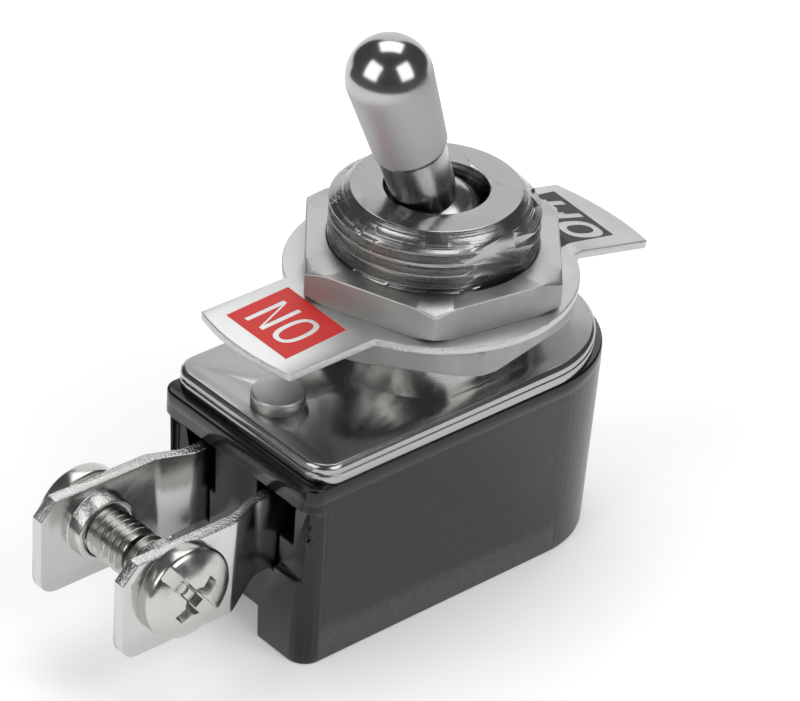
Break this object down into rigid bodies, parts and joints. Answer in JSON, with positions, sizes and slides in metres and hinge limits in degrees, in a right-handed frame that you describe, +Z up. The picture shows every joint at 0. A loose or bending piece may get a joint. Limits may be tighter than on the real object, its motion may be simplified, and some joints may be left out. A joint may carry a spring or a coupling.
{
  "type": "toggle switch",
  "caption": "Panel-mounted toggle switch with a bat lever, a threaded bushing with nuts, an ON and OFF indicator plate, and side-by-side screw terminals.",
  "frame": {"origin": "on the bushing's axis, at the flat bottom of the housing", "axes": "+Z up along the bushing's axis, -X towards the screw terminals, lever swings in the XZ plane"},
  "size_m": [0.0383, 0.0166, 0.0345],
  "materials": {
    "black_body": "moulded phenolic, semi-gloss black",
    "nickel_sheet": "bright nickel-plated sheet",
    "fibre": "vulcanised fibre",
    "nickel_turned": "bright nickel-plated turned brass",
    "nickel_nut": "bright nickel plate",
    "satin_plate": "satin, with printed red and dark grey fields",
    "chrome_lever": "polished",
    "steel": "plain steel",
    "nylon": "moulded insulating plastic",
    "brass": "pressed brass",
    "silver_contact": "silver-faced contact",
    "nickel_terminal": "nickel-plated brass strip",
    "nickel_screw": "nickel-plated",
    "nickel_rivet": "nickel-plated"
  },
  "bodies": {
    "body": {"housing": "black_body", "cover_plate": "nickel_sheet", "backing_plate": "nickel_sheet", "insulating_sheet": "fibre", "bushing": "nickel_turned", "lower_nut": "nickel_nut", "indicator_plate": "satin_plate", "upper_nut": "nickel_nut", "fulcrum": "brass", "fixed_contact": "silver_contact", "terminal_near": "nickel_terminal", "terminal_far": "nickel_terminal", "rivet_front": "nickel_rivet", "rivet_rear": "nickel_rivet"},
    "lever": {"lever": "chrome_lever", "pivot_pin": "steel", "lever_spring": "steel"},
    "plunger": {"plunger": "nylon"},
    "rocker": {"rocker": "brass", "moving_contact": "silver_contact"},
    "screw_near": {"screw_near": "nickel_screw"},
    "screw_far": {"screw_far": "nickel_screw"}
  },
  "joints": [
    {"name": "lever_tilt", "type": "hinge", "parent": "body", "child": "lever", "pos_m": [0, 0, 0.0214], "axis": [0, 1, 0], "range_deg": [0, 41.2]},
    {"name": "plunger_slide", "type": "slide", "parent": "lever", "child": "plunger", "axis": [-0.3518, 0, 0.9361], "range_m": [0, 0.0008], "stiffness_N_per_m": 200, "springref_m": -0.001, "deforming": ["lever_spring"]},
    {"name": "rocker_tilt", "type": "hinge", "parent": "body", "child": "rocker", "pos_m": [0, 0, 0.00954], "axis": [0, 1, 0], "range_deg": [-16, 0]},
    {"name": "screw_near_travel", "type": "slide", "parent": "body", "child": "screw_near", "axis": [0, -1, 0], "range_m": [0, 0.0025]},
    {"name": "screw_far_travel", "type": "slide", "parent": "body", "child": "screw_far", "axis": [0, 1, 0], "range_m": [0, 0.0025]}
  ],
  "couplings": [
    {"joint": "rocker_tilt", "follows": "lever_tilt", "ratio": -0.3883}
  ]
}
